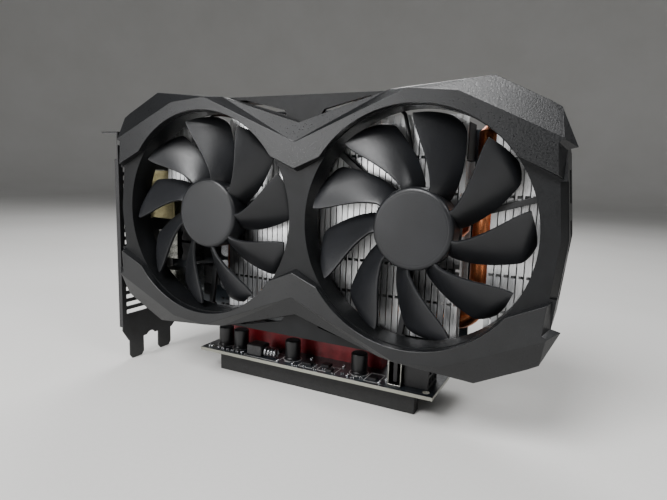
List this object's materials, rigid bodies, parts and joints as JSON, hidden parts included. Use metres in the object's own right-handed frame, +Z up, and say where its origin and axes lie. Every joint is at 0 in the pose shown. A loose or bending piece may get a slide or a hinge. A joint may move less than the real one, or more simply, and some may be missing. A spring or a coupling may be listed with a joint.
{
  "type": "graphics card",
  "caption": "Dual-slot graphics card with twin axial fans in an angular shroud, plugged upright into a small slot riser board.",
  "frame": {"origin": "centre of the footprint, on the surface that the bracket tips and the riser feet stand on", "axes": "+X along the card away from the bracket, +Y from the fan face towards the circuit board, +Z up out of the riser slot"},
  "size_m": [0.2216, 0.0636, 0.1374],
  "materials": {
    "shroud_abs": "moulded ABS with a fine spark-eroded grain",
    "armour_abs": "moulded ABS with a fine sparkling grain",
    "fan_pbt": "satin moulded PBT",
    "frame_pbt": "black moulded PBT",
    "bracket_steel": "black powder coated sheet steel",
    "screw_steel": "bright zinc plated steel",
    "black_screw": "black oxide steel",
    "socket_brass": "brass tinted plated shell",
    "socket_nickel": "nickel plated pressed steel",
    "socket_black": "black glass filled nylon",
    "socket_ivory": "ivory nylon",
    "board_mask": "black solder mask on glass epoxy",
    "contact_gold": "hard gold plating",
    "package_laminate": "green laminate",
    "silicon": "polished silicon",
    "chip_epoxy": "moulded epoxy",
    "choke_ferrite": "pressed iron powder",
    "can_aluminium": "drawn aluminium can",
    "fin_aluminium": "bright rolled aluminium",
    "base_aluminium": "milled aluminium",
    "copper": "drawn copper",
    "winding_copper": "enamelled copper wire",
    "pad_silicone": "grey silicone pad",
    "brace_steel": "stamped spring steel",
    "lamination_steel": "stacked electrical steel",
    "bearing_bronze": "sintered bronze",
    "shaft_steel": "ground steel",
    "magnet_ferrite": "bonded ferrite",
    "lead_pvc": "black PVC",
    "slot_red": "red glass filled nylon",
    "riser_mask": "black solder mask on glass epoxy",
    "sleeve_pvc": "black shrink sleeve",
    "coil_ferrite": "pressed ferrite block",
    "foot_rubber": "black rubber"
  },
  "bodies": {
    "riser": {"riser_board": "riser_mask", "riser_slot": "slot_red", "riser_slot_contacts": "contact_gold", "riser_capacitors": "sleeve_pvc", "riser_coil": "coil_ferrite", "riser_chips": "chip_epoxy", "usb_socket": "socket_nickel", "usb_insert": "socket_black", "riser_power_socket": "socket_black", "riser_feet": "foot_rubber"},
    "card": {"fan_shroud": "shroud_abs", "upper_armour": "armour_abs", "lower_armour": "armour_abs", "bracket": "bracket_steel", "bracket_screws": "black_screw", "dvi_shell": "socket_brass", "dvi_insert": "socket_ivory", "dvi_posts": "socket_brass", "hdmi_shell": "socket_nickel", "hdmi_insert": "socket_black", "displayport_shell": "socket_nickel", "displayport_insert": "socket_black", "circuit_board": "board_mask", "edge_contacts": "contact_gold", "gpu_package": "package_laminate", "gpu_die": "silicon", "memory_chips": "chip_epoxy", "power_chokes": "choke_ferrite", "power_transistors": "chip_epoxy", "board_capacitors": "can_aluminium", "board_chips": "chip_epoxy", "power_socket": "socket_black", "fan_header": "socket_ivory", "heatsink_base": "base_aluminium", "fin_stack_centre": "fin_aluminium", "fin_stack_right": "fin_aluminium", "fin_stack_left": "fin_aluminium", "heat_pipe_right": "copper", "heat_pipe_left": "copper", "heat_pipe_centre": "copper", "thermal_pads": "pad_silicone", "retention_brace": "brace_steel", "retention_screws": "screw_steel", "fan_frame_left": "frame_pbt", "fan_frame_right": "frame_pbt", "fan_screws": "black_screw", "bearing_left": "bearing_bronze", "bearing_right": "bearing_bronze", "stator_left": "lamination_steel", "stator_right": "lamination_steel", "coils_left": "winding_copper", "coils_right": "winding_copper", "fan_lead_left": "lead_pvc", "fan_lead_right": "lead_pvc"},
    "fan_left": {"rotor_left": "fan_pbt", "shaft_left": "shaft_steel", "magnet_ring_left": "magnet_ferrite"},
    "fan_right": {"rotor_right": "fan_pbt", "shaft_right": "shaft_steel", "magnet_ring_right": "magnet_ferrite"}
  },
  "joints": [
    {"name": "card_lift", "type": "slide", "parent": "riser", "child": "card", "axis": [0, 0, 1], "range_m": [0, 0.012]},
    {"name": "fan_left_spin", "type": "hinge", "parent": "card", "child": "fan_left", "pos_m": [-0.04325, -0.02225, 0.0825], "axis": [0, 1, 0], "continuous": true},
    {"name": "fan_right_spin", "type": "hinge", "parent": "card", "child": "fan_right", "pos_m": [0.05575, -0.02225, 0.0825], "axis": [0, 1, 0], "continuous": true}
  ]
}
